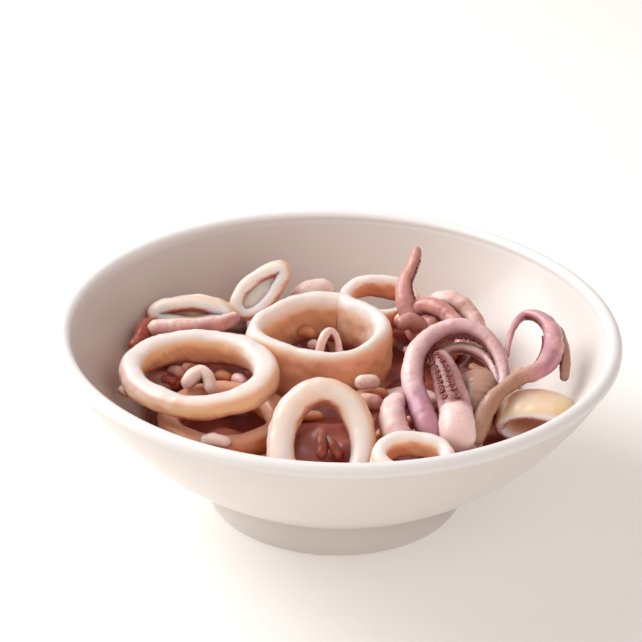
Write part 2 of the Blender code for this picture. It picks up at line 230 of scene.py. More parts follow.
def armFinish(name, tint):
    finish, tree, output = newFinish(name)
    place = add(tree, "TexCoord").outputs["Object"]
    oral = add(tree, "Attribute", {"attribute_name": "oral"}).outputs["Fac"]
    cloud = add(tree, "TexNoise", {"Scale": 1 / (arms["cloud"] * mm), "Detail": 3}, {"Vector": place})
    clouded = add(tree, "MapRange", {"From Min": 0.35, "From Max": 0.65}, {"Value": cloud})
    skin = add(tree, "Mix", {"data_type": "RGBA", 6: toLinear(tint["mauve"]), 7: toLinear(tint["skin"])},
               {0: clouded})
    tanned = add(tree, "Attribute", {"attribute_name": "tan"}).outputs["Fac"]
    worn = add(tree, "Mix", {"data_type": "RGBA", 7: toLinear(arms["tan"])}, {0: tanned, 6: skin})
    facing = add(tree, "MapRange", {"From Min": 0.3, "From Max": 0.85}, {"Value": oral})
    bare = add(tree, "Mix", {"data_type": "RGBA", 7: toLinear(tint["meat"])}, {0: facing, 6: worn})
    # skin facing the key is painted pale, less on the sucker side: painted light, with each arm's own
    # paleness
    lit = add(tree, "Attribute", {"attribute_name": "paintedLightAndPale"}).outputs["Fac"]
    cells = add(tree, "TexVoronoi", {"Scale": 1 / (arms["spotPitch"] * mm)}, {"Vector": place})
    dots = add(tree, "MapRange", {"From Min": 0.1, "From Max": 0.45, "To Min": 0.25, "To Max": 0.0},
               {"Value": cells.outputs["Distance"]})
    spots = add(tree, "Math", {"operation": "MULTIPLY"}, {0: dots, 1: clouded})
    kept = add(tree, "MapRange", {"From Min": 0.2, "From Max": 0.8, "To Min": 1.0, "To Max": 0.1},
               {"Value": oral})
    pale = add(tree, "Math", {"operation": "MULTIPLY"}, {0: lit, 1: kept})
    paleAndLitColour = add(tree, "Mix", {"data_type": "RGBA", 7: toLinear(tint["paleAndLitColour"])}, {0: pale, 6: bare})
    dusk = add(tree, "Attribute", {"attribute_name": "dusk"}).outputs["Fac"]
    dusky = add(tree, "Mix", {"data_type": "RGBA", 7: toLinear(arms["dusk"])}, {0: dusk, 6: paleAndLitColour})
    speckled = add(tree, "Mix", {"data_type": "RGBA", 7: toLinear(tint["spot"])}, {0: spots, 6: dusky})
    # near other flesh the skin is painted dark red: painted shade in crevices
    near = add(tree, "AmbientOcclusion", {"Distance": arms["reach"] * mm, "samples": 8}).outputs["AO"]
    creviceShade = add(tree, "MapRange", {"From Min": 0.05, "From Max": 0.7, "To Min": 1.0, "To Max": 0.0},
                {"Value": near})
    colour = add(tree, "Mix", {"data_type": "RGBA", 7: toLinear(tint["crevice"])}, {0: creviceShade, 6: speckled})
    wrinkle = add(tree, "TexNoise", {"Scale": 1 / (arms["wrinkle"] * mm), "Detail": 3}, {"Vector": place})
    relief = add(tree, "Bump", {"Strength": 0.35, "Distance": 0.12 * mm}, {"Height": wrinkle})
    shader = add(tree, "BsdfPrincipled", {
        "Subsurface Weight": 0.6, "Subsurface Radius": (1.0, 0.35, 0.25), "Subsurface Scale": 2.0 * mm,
        "Roughness": 0.32, "IOR": 1.38, "Coat Weight": 0.5, "Coat Roughness": 0.12, "Coat IOR": 1.33,
    }, {"Base Color": colour, "Normal": relief})
    tree.links.new(shader.outputs[0], output.inputs["Surface"])
    return finish


# Glazed white porcelain: a clear smooth glaze over a slightly warm white body. The lip is painted whitest
# and the side facing the key whiter (painted light), and the inside turned from the key is painted brown
# near the food and low down (painted shade and painted reflection of the food).
glaze = {"body": "#E4DED9", "shade": "#DED6CF", "lit": "#EFEBE8", "lip": "#FBFBFB", "shadeAndReflection": "#A06A4E",
         "cloud": 26.0, "reach": 12.0, "shadeTop": 56.0, "shadeFull": 38.0}


def glazeFinish():
    finish, tree, output = newFinish("glazed porcelain")
    place = add(tree, "TexCoord").outputs["Object"]
    cloud = add(tree, "TexNoise", {"Scale": 1 / (glaze["cloud"] * mm), "Detail": 2}, {"Vector": place})
    colour = add(tree, "Mix", {"data_type": "RGBA", 6: toLinear(glaze["shade"]), 7: toLinear(glaze["body"])},
                 {0: cloud})
    height = add(tree, "SeparateXYZ", {}, {0: place}).outputs["Z"]
    # the lip is painted whitest and the side facing the key lighter: painted light
    lip = add(tree, "MapRange", {"From Min": (bowlHeight - 4) * mm, "From Max": (bowlHeight - 1) * mm},
              {"Value": height})
    lit = add(tree, "Attribute", {"attribute_name": "paintedLightAndPale"}).outputs["Fac"]
    bright = add(tree, "Mix", {"data_type": "RGBA", 7: toLinear(glaze["lit"])}, {0: lit, 6: colour})
    rimmed = add(tree, "Mix", {"data_type": "RGBA", 7: toLinear(glaze["lip"])}, {0: lip, 6: bright})
    # inside the bowl, on the side turned from the key, the glaze is painted brown near the food and low
    # down: painted shade and painted reflection of the food
    near = add(tree, "AmbientOcclusion", {"Distance": glaze["reach"] * mm, "samples": 8}).outputs["AO"]
    beside = add(tree, "MapRange", {"From Min": 0.2, "From Max": 0.95, "To Min": 0.9, "To Max": 0.0},
                 {"Value": near})
    low = add(tree, "MapRange", {"From Min": glaze["shadeFull"] * mm, "From Max": glaze["shadeTop"] * mm,
                                 "To Min": 0.4, "To Max": 0.0}, {"Value": height})
    shadeAmount = add(tree, "Math", {"operation": "MAXIMUM"}, {0: beside, 1: low})
    shaded = add(tree, "Attribute", {"attribute_name": "shaded"}).outputs["Fac"]
    share = add(tree, "Math", {"operation": "MULTIPLY"}, {0: shadeAmount, 1: shaded})
    tinged = add(tree, "Mix", {"data_type": "RGBA", 7: toLinear(glaze["shadeAndReflection"])}, {0: share, 6: rimmed})
    relief = add(tree, "Bump", {"Strength": 0.12, "Distance": 0.4 * mm}, {"Height": cloud})
    shader = add(tree, "BsdfPrincipled", {
        "Roughness": 0.33, "IOR": 1.5, "Coat Weight": 0.2, "Coat Roughness": 0.12,
    }, {"Base Color": tinged, "Normal": relief})
    tree.links.new(shader.outputs[0], output.inputs["Surface"])
    return finish


# The bowl's radius and height are its CAD box's. The inside is part of a sphere.
bowl = {"wall": 4.0, "lip": 2.4, "floor": 6.0, "foot": 40.0, "footWidth": 5.0, "recess": 1.6, "steps": 240}
bowlLow, bowlHigh = boxOf("bowl")
bowlRadius, bowlHeight = (bowlHigh[1] - bowlLow[1]) / 2, bowlHigh[2]
insideRadius = bowlRadius - 2 * bowl["lip"]
insideDepth = bowlHeight - bowl["lip"] - bowl["floor"]
sphereRadius = (insideRadius ** 2 + insideDepth ** 2) / (2 * insideDepth)
sphereHeight = bowl["floor"] + sphereRadius


def arc(centre, radius, start, end, steps):
    # points (r, z) on an arc from one angle to another, in degrees
    turn = np.radians(np.linspace(start, end, steps))
    return np.stack([centre[0] + radius * np.cos(turn), centre[1] + radius * np.sin(turn)], -1)


def bowlProfile():
    # from the middle of the underside out over the foot ring, up the outside, over the lip and down inside
    outside = sphereRadius + bowl["wall"]
    lipCentre = (bowlRadius - bowl["lip"], bowlHeight - bowl["lip"])
    footInside, recess = bowl["foot"] - bowl["footWidth"], bowl["recess"]
    under = np.linspace((0.02, recess), (footInside - recess, recess), 24)
    # the foot ring's section, from its inner side round the bottom to its outer side
    foot = np.array([(footInside - 0.9, 0.7), (footInside - 0.2, 0.15), (footInside + 0.5, 0),
                     (bowl["foot"] - 1.4, 0), (bowl["foot"] - 0.5, 0.3), (bowl["foot"], 1.2)])
    low = -np.degrees(np.arccos((bowl["foot"] + 0.2) / outside))
    high = -np.degrees(np.arcsin((sphereHeight - bowlHeight + 5) / outside))
    inner = -np.degrees(np.arccos(insideRadius / sphereRadius))
    return np.vstack([under, foot, arc((0, sphereHeight), outside, low, high, 60),
                      arc(lipCentre, bowl["lip"], 0, 180, 24),
                      arc((0, sphereHeight), sphereRadius, inner - 0.5, -89.99, 90)])


def lathe(profile, steps):
    # each profile point (r, z) carried round the z axis
    turn = np.linspace(0, 2 * np.pi, steps, endpoint=False)
    r, z = profile[:, :1], profile[:, 1:]
    return np.stack([r * np.cos(turn), r * np.sin(turn), z + 0 * turn], -1)


def rounded(wave, power):
    # a cosine or sine with its size raised to 2 / power: a power over 2 squares a circle off
    return np.sign(wave) * np.abs(wave) ** (2 / power)


def turned(points, turn=0, lean=0, spin=0):
    # spin in the ring's own plane, then lean its far edge up, then turn about the vertical, in degrees
    steps = [Matrix.Rotation(np.radians(angle), 3, axis)
             for angle, axis in ((turn, "Z"), (lean, "X"), (spin, "Z"))]
    return points @ np.array(steps[0] @ steps[1] @ steps[2]).T


def outward(grid, closedRows):
    # unit normals of a grid of points, from the differences between neighbours
    across = np.roll(grid, -1, 1) - np.roll(grid, 1, 1)
    along = np.roll(grid, -1, 0) - np.roll(grid, 1, 0) if closedRows else np.gradient(grid, axis=0)
    normals = np.cross(across, along)
    inside = ((grid - grid.reshape(-1, 3).mean(0)) * normals).sum() < 0
    return unit(-normals if inside else normals)


def paintedLightAndPale(grid, closedRows):
    # 1 where a surface faces the key, 0 where it is turned away: the mask for painted light, which paints
    # that side pale
    toKey = outward(grid, closedRows) @ unit(np.array(lights["key"]["from"]))
    return np.clip((toKey + 0.1) / 0.9, 0, 1)


shell = lathe(bowlProfile(), bowl["steps"])
# the bowl's side facing the key takes painted light, and its inside turned from the key the painted shade
lit = paintedLightAndPale(shell, False)
within = (outward(shell, False) * (np.array([0, 0, sphereHeight]) - shell)).sum(-1) > 0
newPiece("bowlShell", [shell], glazeFinish(), "bowl", False, {
    "paintedLightAndPale": [lit], "shaded": [within * (1 - lit)]})
print("bowl made")


def under(grid, closedRows):
    # 1 where a surface faces down, 0 where it faces up or sideways: the mask for the painted shade on
    # undersides
    return np.clip((-outward(grid, closedRows)[..., 2] + 0.12) / 0.6, 0, 1)


# How uneven each kind of surface is: waves of a size and a height, in mm.
uneven = {
    "ring": ((12, 0.25), (4.5, 0.1), (1.6, 0.03)), "film": ((5, 0.3),), "looseRing": ((10, 0.2), (4, 0.08)),
    "arm": ((5, 0.12), (1.7, 0.05)), "web": ((7, 0.5), (2.5, 0.12)), "strip": ((4, 0.15), (1.6, 0.05)),
}


def roughen(grid, closedRows, layers, seed):
    # moves each point along its normal by smooth random waves; layers are (size, height)
    amount = sum(height * ripple(grid, size, seed + k) for k, (size, height) in enumerate(layers))
    return grid + outward(grid, closedRows) * amount[..., None]


def press(grid, gap=0.6):
    # what would lie in the bowl's wall goes back to just inside it
    centre = np.array([0, 0, sphereHeight])
    offset = grid - centre
    distance = np.linalg.norm(offset, axis=-1, keepdims=True)
    share = np.minimum(1, (sphereRadius - gap) / distance)
    return centre + offset * np.where(offset[..., 2:] < 0, share, 1)


def seat(grids, node):
    # moves shapes together so that their box has the same middle as the node's
    low, high = boxOf(node)
    points = np.vstack([grid.reshape(-1, 3) for grid in grids])
    return [grid + (low + high) / 2 - (points.min(0) + points.max(0)) / 2 for grid in grids]


def blob(centre, radii, rows=40, columns=48, **angles):
    # an ellipsoid, turned by angles: rows from pole to pole, columns round it
    tilt = np.linspace(0.02, np.pi - 0.02, rows)[:, None]
    turn = np.linspace(0, 2 * np.pi, columns, endpoint=False)
    ball = np.stack([np.sin(tilt) * np.cos(turn), np.sin(tilt) * np.sin(turn), np.cos(tilt) + 0 * turn], -1)
    return np.array(centre) + turned(ball * np.array(radii), **angles)


def ringGrid(shape, rows=220, columns=64):
    # A rounded oblong section carried round an oval whose radius has waves and corners in it. The wall's
    # thickness and the band's height drift along it.
    random = np.random.default_rng(shape["seed"])
    theta = np.linspace(0, 2 * np.pi, rows, endpoint=False)
    phi = np.linspace(0, 2 * np.pi, columns, endpoint=False) + np.pi / columns
    swell = 1 + sum(size * np.cos(n * (theta - np.radians(at))) for n, size, at in shape.get("lobes", ()))
    for at, width, size in shape.get("corners", ()):
        away = (theta - np.radians(at) + np.pi) % (2 * np.pi) - np.pi
        swell = swell + size * np.exp(-np.abs(away / np.radians(width)) ** 1.3)
    wall, band = shape["wall"], shape["band"]
    middle = np.stack([(shape["half"][0] - wall / 2) * swell * np.cos(theta),
                       (shape["half"][1] - wall / 2) * swell * np.sin(theta)], -1)
    along = unit(np.roll(middle, -1, 0) - np.roll(middle, 1, 0))
    normal = np.stack([along[:, 1], -along[:, 0]], -1)
    phases = random.uniform(0, 2 * np.pi, (2, 3))
    drifts = [sum(np.cos(k * theta + phase) / k for k, phase in zip((1, 2, 3), row)) for row in phases]
    walls, bands = wall * (1 + 0.06 * drifts[0]), band * (1 + 0.04 * drifts[1])
    square = 2.4  # the section's power: 2 makes an ellipse, more makes it squarer
    out = 0.5 * walls[:, None] * rounded(np.cos(phi), square)
    up = 0.5 * bands[:, None] * rounded(np.sin(phi), square)
    up = np.where(up < 0, up * (1 + shape.get("deeper", 0) * np.sin(theta))[:, None], up)
    flat = middle[:, None, :] + normal[:, None, :] * out[..., None]
    grid = np.concatenate([flat, up[..., None]], -1)
    # cut is 1 on the two cut faces, and edge on a thin line beside them on the outside
    inner = np.clip(-np.cos(phi), 0, 1)
    cut = np.clip((np.abs(np.sin(phi)) - 0.7 + 0.35 * inner) / 0.3, 0, 1) + 0 * theta[:, None]
    # at the back of the ring the inner half of the cut is painted orange by inside: painted shade
    back = np.clip(np.sin(theta), 0, 1)[:, None]
    cut = cut * (1 - shape.get("inside", 0) * np.clip(0.6 - np.cos(phi), 0, 1) * back)
    edge = np.exp(-((np.abs(np.sin(phi)) - 0.6) / 0.16) ** 2) * (np.cos(phi) > 0) + 0 * theta[:, None]
    skin = shape.get("edge", 0.55) * edge
    return turned(grid, shape.get("turn", 0), shape.get("lean", 0), shape.get("spin", 0)), cut, skin


mantleFlesh = mantleFinish("raw mantle flesh", mantle["cut"])
# the amber and shade copies are the same flesh painted in half shade and in deep shade
halfShadeFlesh = mantleFinish("mantle flesh painted in half shade", mantle["amber"])
shadeFlesh = mantleFinish("mantle flesh painted in deep shade", mantle["shade"])

# Half widths, wall and band in mm; turn, lean and spin in degrees. Lobes are waves in the outline (count,
# size, at) and corners are bumps (at, width, size). Deeper is how much more of the band hangs down at the
# back, inside how orange the inner half of the cut is painted there as shade, edge how pink the edge, and
# lit how much painted light makes the side facing the key pale. Amber puts on the flesh painted in half
# shade. Film (paleness, thickness) is a thin skin that closes the hole.
rings = {
    "ring_left": {"half": (24.2, 24.2), "wall": 7.6, "band": 8.6, "deeper": 0.5,
                  "lobes": ((3, 0.02, 40), (2, 0.015, 120)), "seed": 3},
    "ring_centre": {"half": (22.8, 20.8), "wall": 6.4, "band": 19.0, "lean": 5,
                    "lobes": ((4, 0.035, 12), (3, 0.025, 75)),
                    "corners": ((72, 11, 0.06), (205, 22, 0.02)), "seed": 5},
    "ring_front": {"half": (15.8, 18.8), "wall": 7.6, "band": 10.0, "lean": 46, "inside": 0.4,
                   "lobes": ((3, 0.02, 90),), "seed": 7},
    "ring_under": {"half": (20.0, 19.5), "wall": 7.0, "band": 8.2, "amber": True, "seed": 9},
    "ring_back_left": {"half": (14.0, 6.1), "wall": 5.9, "band": 9.0, "lean": 65, "film": (0.0, 1.5),
                       "seed": 11},
    "ring_fold": {"half": (12.0, 6.6), "wall": 4.8, "band": 8.0, "lean": 62, "spin": 45,
                  "film": (0.85, 2.2), "lobes": ((3, 0.08, 0),), "seed": 13},
    "ring_back_right": {"half": (13.5, 10.0), "wall": 4.5, "band": 9.0, "lean": 20, "seed": 15},
    "ring_right": {"half": (12.2, 7.4), "wall": 4.8, "band": 12.5, "turn": -12, "lean": 102, "spin": 6,
                   "edge": 0, "lit": 0.5, "seed": 17},
    "ring_low": {"half": (12.0, 9.0), "wall": 4.6, "band": 9.0, "lean": 14, "seed": 19},
}
for node, shape in rings.items():
    grid, cut, skin = ringGrid(shape)
    grid = press(seat([grid], node)[0])
    grid = roughen(grid, True, uneven["ring"], shape["seed"])
    # the side facing the key is painted pale (painted light) and the underside dark red (painted shade)
    fields = {"cut": [cut], "skin": [skin], "paintedLightAndPale": [shape.get("lit", 1) * paintedLightAndPale(grid, True)],
              "under": [under(grid, True)]}
    finish = halfShadeFlesh if shape.get("amber") else mantleFlesh
    newPiece(node + "Flesh", [grid], finish, node, True, fields)
    if "film" in shape:
        pale, thickness = shape["film"]
        size = (shape["half"][0] - shape["wall"] / 2, shape["half"][1] - shape["wall"] / 2, thickness)
        angles = {key: shape.get(key, 0) for key in ("turn", "lean", "spin")}
        film = blob(grid.reshape(-1, 3).mean(0), size, **angles)
        film = roughen(film, False, uneven["film"], shape["seed"])
        newPiece(node + "Film", [film], mantleFlesh, node, False, {
            "cut": [pale + 0 * film[..., 0]]})
print("rings made:", len(rings))


def smoothLine(knots, spacing=0.6):
    # a Catmull-Rom curve through knots, at about even steps
    knots = np.array(knots, float)
    padded = np.vstack([2 * knots[0] - knots[1], knots, 2 * knots[-1] - knots[-2]])
    gaps = np.linalg.norm(np.diff(knots[:, :3], axis=0), axis=1)
    steps = np.maximum(2, np.round(gaps / spacing).astype(int))
    span = np.repeat(np.arange(len(steps)), steps)
    starts = np.cumsum(steps) - steps
    t = ((np.arange(len(span)) - starts[span]) / steps[span])[:, None]
    before, start, end, after = (padded[span + k] for k in range(4))
    line = 0.5 * (2 * start + (end - before) * t + (2 * before - 5 * start + 4 * end - after) * t ** 2
                  + (3 * start - before - 3 * end + after) * t ** 3)
    return np.vstack([line, knots[-1]])


def armAxes(line, focus):
    # the directions towards focus and sideways, both square to the line
    along = unit(np.gradient(line[:, :3], axis=0))
    oral = np.array(focus, float) - line[:, :3]
    oral = unit(oral - (oral * along).sum(-1, keepdims=True) * along)
    return oral, np.cross(along, oral)


def lengthAlong(line):
    # the length of the line up to each of its points
    return np.concatenate([[0], np.cumsum(np.linalg.norm(np.diff(line[:, :3], axis=0), axis=1))])


def armGrid(line, focus, seed, columns=40, flat=0.14):
    # A round section carried along a line, flattened on the side that faces focus. Both ends round off
    # over one radius, and fine creases run round it.
    oral, side = armAxes(line, focus)
    reach, radius = lengthAlong(line), line[:, 3]
    head, tail = reach / radius[0], (reach[-1] - reach) / radius[-1]
    ends = np.prod([np.sqrt(1 - (1 - np.clip(share, 0.03, 1)) ** 2) for share in (head, tail)], axis=0)
    psi = np.linspace(0, 2 * np.pi, columns, endpoint=False)
    section = 1 - flat * np.clip(np.cos(psi), 0, 1) ** 2
    crease = 1 + 0.02 * ripple(reach[:, None] * np.array([[1.0, 0, 0]]), 1.8, seed)
    size = (radius * ends * crease)[:, None] * section
    spokes = np.cos(psi)[None, :, None] * oral[:, None] + np.sin(psi)[None, :, None] * side[:, None]
    return line[:, None, :3] + size[..., None] * spokes, np.cos(psi) + 0 * radius[:, None]


# The cup of a sucker as (r, h) in shares of its radius: from the stalk in the arm out, over a thick rim
# and into the hollow.
suckerProfile = np.array([(0.02, -0.8), (0.5, -0.75), (0.7, -0.35), (1.0, 0.05), (1.02, 0.35),
                          (0.85, 0.55), (0.65, 0.45), (0.45, 0.12), (0.02, 0.0)])


def suckersOn(line, focus, start, end, share=0.21, spread=22):
    # two staggered rows of cups on the side that faces focus, from one share of the line to another;
    # a cup's radius is a share of the arm's
    oral, side = armAxes(line, focus)
    reach = lengthAlong(line)
    grids, at, row = [], reach[-1] * start, 1
    while at < reach[-1] * end:
        k = int(np.searchsorted(reach, at))
        size = share * line[k, 3]
        tilt = np.radians(spread * row)
        axis = unit(np.cos(tilt) * oral[k] + np.sin(tilt) * side[k])
        across = unit(np.cross(axis, (0.3, 0.5, 0.8)))
        other = np.cross(axis, across)
        turn = np.linspace(0, 2 * np.pi, 12, endpoint=False)
        spokes = np.cos(turn)[:, None] * across + np.sin(turn)[:, None] * other
        centre = line[k, :3] + axis * line[k, 3] * 0.92
        cup = suckerProfile[:, :1, None] * spokes + suckerProfile[:, 1:, None] * axis
        grids.append(centre + size * cup)
        at, row = at + size * 1.25, -row
    return grids


# Cooler mauve arms in front, peachier ones behind, and darker red-brown cups.
frontArms = armFinish("mauve arm skin", {
    "skin": "#DDA3A4", "mauve": "#BC8496", "meat": "#8E5450", "paleAndLitColour": "#F7DCD9", "spot": "#9A5664",
    "crevice": "#5A1014"})
backArms = armFinish("peach arm skin", {
    "skin": "#DCA294", "mauve": "#C08484", "meat": "#B87868", "paleAndLitColour": "#F8E0D8", "spot": "#A8605A",
    "crevice": "#641A10"})
cupSkin = armFinish("sucker cup skin", {
    "skin": "#9C6058", "mauve": "#8A5054", "meat": "#8E5450", "paleAndLitColour": "#C89088", "spot": "#7A3A40",
    "crevice": "#5A1614"})

# Knots are (x, y, z, radius), thick end first. Focus is the point the suckers face; cups are the shares of
# the arm between which they show. Pale is (its own paleness, what painted light adds on the side facing the
# key); tan, dusk and fresh are the shares from the thick end that are beige, dark mauve and pinkish white.
crowns = {
    "crown_front": {
        "web": ((33, -36, 36.5), (9, 8, 6)),
        "arch": {"focus": (38, -16, 40), "pale": (0.25, 0.7), "dusk": 0.32, "cups": (0.3, 0.97), "knots": (
            (31, -38, 37, 4.4), (26.4, -33.6, 42, 4), (23.2, -24, 45.5, 3.7), (22, -16, 49, 3.5),
            (24, -7.6, 53, 3.4), (29.7, -0.6, 55, 3.2), (36.6, 1.2, 56, 3.1), (43.2, -1, 55, 2.8),
            (47.3, -5.9, 52, 2.5), (49.2, -12.8, 48, 2.2), (48.5, -18.4, 45.5, 1.6))},
        "column": {"focus": (26, -120, 70), "fresh": 0.36, "cups": (0.4, 0.95), "knots": (
            (35, -40, 37, 5), (34.3, -38.5, 43, 5.4), (34, -30, 46, 4.9), (32.8, -21.6, 47.8, 4.5),
            (31, -13, 50.2, 3.9), (29.2, -6.5, 51.2, 3.2))},
        "inner": {"focus": (38, -16, 40), "knots": (
            (29, -7, 48.5, 2.2), (32.9, -2, 50, 1.8), (38.3, -1.2, 50.5, 1.9), (44.1, -4.8, 49.5, 2),
            (47, -10.4, 47.5, 2), (48, -16, 44.5, 1.6))},
        "lobe": {"focus": (20, -20, 20), "tan": 2, "pale": (0, 0.3), "knots": (
            (36.5, -34, 36.5, 5.2), (40, -24, 39.4, 6), (42.5, -13.5, 41.4, 7.2), (43.6, -5, 42.2, 6.5))},
        "left": {"focus": (30, -20, 30), "pale": (0.3, 0.9), "knots": (
            (25, -38, 36, 5), (18.4, -37.5, 39, 4.6), (16.2, -33, 42.3, 4.3), (16.4, -27.1, 43.6, 3.9),
            (18.8, -21, 44, 3))},
        "loop": {"focus": (57, -2, 50), "pale": (0, 0.25), "tan": 0.4, "cups": (0.25, 0.6), "knots": (
            (36, -38, 39, 4.6), (39.5, -35.4, 41.5, 3.6), (43, -28.3, 44.5, 2.8), (47, -23.3, 47.8, 2.3),
            (53.6, -18.9, 50.6, 2.3), (59.6, -15.6, 51.8, 2.8), (63.8, -7, 53, 3.4), (64.2, 2.2, 55, 3),
            (61.5, 9.4, 56, 2.2), (56.9, 12.5, 55, 1.6), (53.1, 6.2, 54, 1.2), (51.2, -1.2, 52, 1),
            (50.4, -5.8, 50, 0.8))},
        "side": {"focus": (50, -10, 40), "tan": 2, "pale": (0, 0.3), "knots": (
            (62, 4.5, 54, 1.6), (66, 4, 54.6, 1.8), (67.3, -2.3, 53, 1.8), (67.6, -7.5, 50.8, 1.8),
            (67.3, -12, 49.2, 1.6), (66.6, -15.6, 48.2, 1.2))},
    },
    "crown_back": {
        "web": ((30, 35, 37), (8, 8, 6)),
        "upright": {"focus": (60, 40, 45), "pale": (0, 0.15), "cups": (0.2, 0.85), "knots": (
            (26, 36, 38, 4.2), (22, 41, 44, 3.4), (21.6, 46.7, 48, 2.6), (23.8, 51.7, 51, 2.1),
            (25.4, 56, 53.5, 1.8), (25.6, 59, 55.4, 1.5))},
        "near": {"focus": (34, 28, 30), "pale": (0, 0.05), "cups": (0.2, 0.9), "knots": (
            (25, 38, 41, 3), (28.5, 37.2, 44.8, 3), (33, 33.4, 45.4, 2.8), (37, 28, 44, 2.6),
            (39, 20.5, 42, 2.2), (37, 14, 40, 1.5))},
        "far": {"focus": (34, 30, 30), "cups": (0.2, 0.9), "knots": (
            (30, 41, 39, 3.4), (33, 41, 44.4, 3.6), (38, 38.8, 45, 3.6), (42.6, 34.4, 43, 3.2),
            (46, 27, 40, 2.2))},
        "stub": {"focus": (24, 20, 36), "pale": (0, 0.1), "knots": (
            (28, 32, 39, 3.4), (22.5, 29.5, 43, 2.8), (19.2, 26.5, 42, 2))},
    },
}
looseArms = {
    "arm_back_left": {"focus": (-50, 30, 20), "knots": (
        (-60, 22.5, 42.5, 2.4), (-51.2, 21.8, 43, 3.3), (-43.4, 22.6, 43, 3.2), (-36, 25.6, 43.5, 2.6),
        (-31, 29, 44.5, 1.8))},
    "arm_back": {"focus": (-8, 50, 20), "pale": (0.9, 0.4), "knots": (
        (-14.5, 46.5, 37, 3.4), (-11.5, 51, 41.8, 4.4), (-6, 54, 42.4, 4.4), (-2.6, 55.6, 40.6, 3))},
    "arm_low_right": {"focus": (40, -40, 20), "knots": (
        (36.4, -53.4, 36.8, 3), (37, -50.8, 39.4, 3.8), (41, -47.6, 39.4, 3.6), (45, -44.6, 38, 2.8))},
    "tip_left": {"focus": (-41, -8, 36), "pale": (0.85, 0.5), "knots": (
        (-45.9, -8.2, 39.3, 2), (-44.2, -5.8, 41, 2.6), (-41.4, -3.8, 42.4, 2.3), (-39.3, -4.8, 41.4, 2.2),
        (-38.5, -6.9, 38.8, 2.1), (-38.4, -7.2, 37, 1.7))},
    "tip_centre": {"focus": (-2.5, 20, 30), "pale": (0.7, 0.5), "knots": (
        (-6.6, 18, 34, 1.5), (-4.6, 21, 41.4, 1.4), (-2.5, 23.5, 43, 1.3), (-0.4, 23.2, 41, 1.2),
        (1, 21, 34, 1.2))},
    "bead": {"focus": (9, -4, 30), "pale": (0.6, 0.6), "knots": (
        (5.4, -5.4, 39, 1.7), (7.2, -4.8, 39.8, 2.4), (10.8, -3.8, 39.8, 2.3), (12.8, -3, 39.2, 1.6))},
}


def paleness(grid, arm):
    # an arm's own paleness, and painted light that adds more of it where the surface faces the key
    base, lit = arm.get("pale", (0, 1))
    return np.clip(base + lit * paintedLightAndPale(grid, False), 0, 1)


for crown, parts in crowns.items():
    finish = frontArms if crown == "crown_front" else backArms
    names = [name for name in parts if name != "web"]
    lines = [smoothLine(parts[name]["knots"]) for name in names]
    made = [armGrid(line, parts[name]["focus"], 40 + k) for k, (name, line) in enumerate(zip(names, lines))]
    web = blob(*parts["web"])
    grids = seat([grid for grid, _ in made] + [web], crown)
    shift = grids[-1][0, 0] - web[0, 0]
    cups = []
    for k, name in enumerate(names):
        grid = roughen(press(grids[k]), False, uneven["arm"], 60 + k)
        share = np.linspace(0, 1, len(grid))[:, None] + 0 * grid[..., 0]
        tan = np.clip((parts[name].get("tan", 0) - share) / 0.1, 0, 1)
        fresh = np.clip((parts[name].get("fresh", 0) - share) / 0.06, 0, 1)
        dusk = 0.8 * np.clip((parts[name].get("dusk", 0) - share) / 0.12, 0, 1)
        fields = {"oral": [made[k][1] * (1 - fresh) - fresh], "tan": [tan], "dusk": [dusk],
                  "paintedLightAndPale": [np.maximum(paleness(grid, parts[name]), 0.95 * fresh)]}
        newPiece(crown + "_" + name, [grid], finish, crown, False, fields)
        if "cups" in parts[name]:
            found = suckersOn(lines[k], parts[name]["focus"], *parts[name]["cups"])
            cups += [press(cup + shift, 0.3) for cup in found]
    web = roughen(press(grids[-1]), False, uneven["web"], 80)
    newPiece(crown + "_web", [web], finish, crown)
    newPiece(crown + "_suckers", cups, cupSkin, crown)
    print(crown, "made:", len(names), "arms,", len(cups), "suckers")

for k, (node, arm) in enumerate(looseArms.items()):
    grid, oral = armGrid(smoothLine(arm["knots"]), arm["focus"], 90 + k)
    grid = roughen(press(seat([grid], node)[0]), False, uneven["arm"], 100 + k)
    newPiece(node + "Skin", [grid], backArms, node, False, {
        "oral": [oral], "paintedLightAndPale": [paleness(grid, arm)]})
print("loose arms made:", len(looseArms))


# The heap under the pieces: a lumpy core with strips and rings lying over it. Swells are (x, y, radius,
# rise), with a fall where the rise is negative.
heap = {"height": 31.0, "sink": 0.9, "lump": 9.0, "relief": 0.8, "rings": 90, "steps": 220,
        "swells": ((-34, -17.5, 23, -5.6), (-34, -17.5, 8, 4), (-6, 20, 26, -8), (-6, 21, 11, 6.5),
                   (-4, -50, 16, -13), (33, -36, 13, -3.4), (56, -26, 10, -3), (30, 35, 12, -2.6))}


def bedTop(x, y):
    # the height of the heap: crossing waves, and flat-topped swells and dips under the pieces on it
    waves = np.sin(x / 6.5) * np.cos(y / 5.5) + 0.5 * np.sin((x + y) / 4.1)
    swells = sum(rise * np.exp(-((((x - cx) ** 2 + (y - cy) ** 2) / radius ** 2) ** 2))
                 for cx, cy, radius, rise in heap["swells"])
    return heap["height"] + 1.2 * waves + swells


